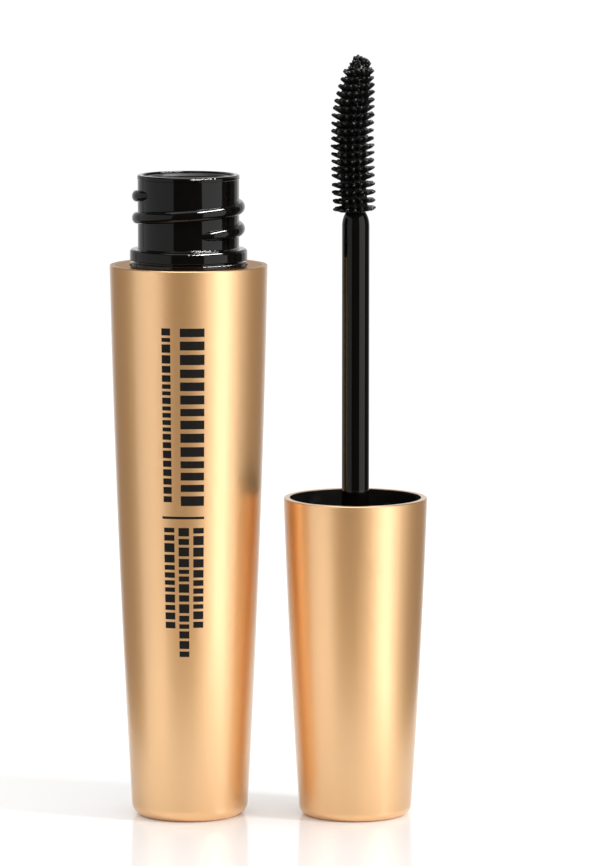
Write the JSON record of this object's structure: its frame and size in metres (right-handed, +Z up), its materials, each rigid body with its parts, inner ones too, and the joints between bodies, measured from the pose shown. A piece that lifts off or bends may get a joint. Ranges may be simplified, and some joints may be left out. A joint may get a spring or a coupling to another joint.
{
  "type": "mascara tube",
  "caption": "Open mascara: tapering satin gold bottle with a black threaded neck, and its gold cap upside down beside it with stem and brush.",
  "frame": {"origin": "centre of the bottle's base, on the surface it stands on", "axes": "+Z up along the bottle and the wand; +X from the bottle towards the cap; +Y away from the viewer"},
  "size_m": [0.0451, 0.0224, 0.1088],
  "materials": {
    "gold_satin": "satin gold anodised",
    "black_gloss": "glossy moulded",
    "wiper_rubber": "satin",
    "seal_foam": "matte",
    "product_paste": "wet",
    "steel_wire": "drawn",
    "bristle_nylon": "coated with product"
  },
  "bodies": {
    "bottle": {"bottle_shell": "gold_satin", "shoulder_ring": "gold_satin", "inner_bottle": "black_gloss", "wiper": "wiper_rubber", "product": "product_paste"},
    "tip_product": {"product_clump": "product_paste"},
    "seal": {"seal_washer": "seal_foam"},
    "wand_stem": {"stem": "black_gloss"},
    "cap": {"cap_shell": "gold_satin", "inner_cap": "black_gloss", "brush_wire": "steel_wire", "bristle_row_01": "bristle_nylon", "bristle_row_02": "bristle_nylon", "bristle_row_03": "bristle_nylon", "bristle_row_04": "bristle_nylon", "bristle_row_05": "bristle_nylon", "bristle_row_06": "bristle_nylon", "bristle_row_07": "bristle_nylon", "bristle_row_08": "bristle_nylon", "bristle_row_09": "bristle_nylon", "bristle_row_10": "bristle_nylon", "bristle_row_11": "bristle_nylon", "bristle_row_12": "bristle_nylon", "bristle_row_13": "bristle_nylon", "bristle_row_14": "bristle_nylon", "bristle_row_15": "bristle_nylon", "bristle_row_16": "bristle_nylon", "bristle_row_17": "bristle_nylon", "bristle_row_18": "bristle_nylon", "bristle_row_19": "bristle_nylon"}
  },
  "joints": [
    {"name": "cap_turn_over", "type": "hinge", "parent": "bottle", "child": "tip_product", "pos_m": [0.01185, 0, 0.1015], "axis": [0, -1, 0], "range_deg": [0, 180]},
    {"name": "wand_insert", "type": "slide", "parent": "tip_product", "child": "seal", "axis": [0, 0, 1], "range_m": [0, 0.07427], "deforming": ["product_clump"]},
    {"name": "cap_advance", "type": "slide", "parent": "seal", "child": "wand_stem", "axis": [0, 0, 1], "range_m": [0, 0.00387]},
    {"name": "cap_screw", "type": "hinge", "parent": "wand_stem", "child": "cap", "pos_m": [0.0237, 0, 0], "axis": [0, 0, 1], "range_deg": [0, 450]}
  ],
  "couplings": [
    {"joint": "cap_advance", "follows": "cap_screw", "m_per_rad": 0.00049338}
  ]
}
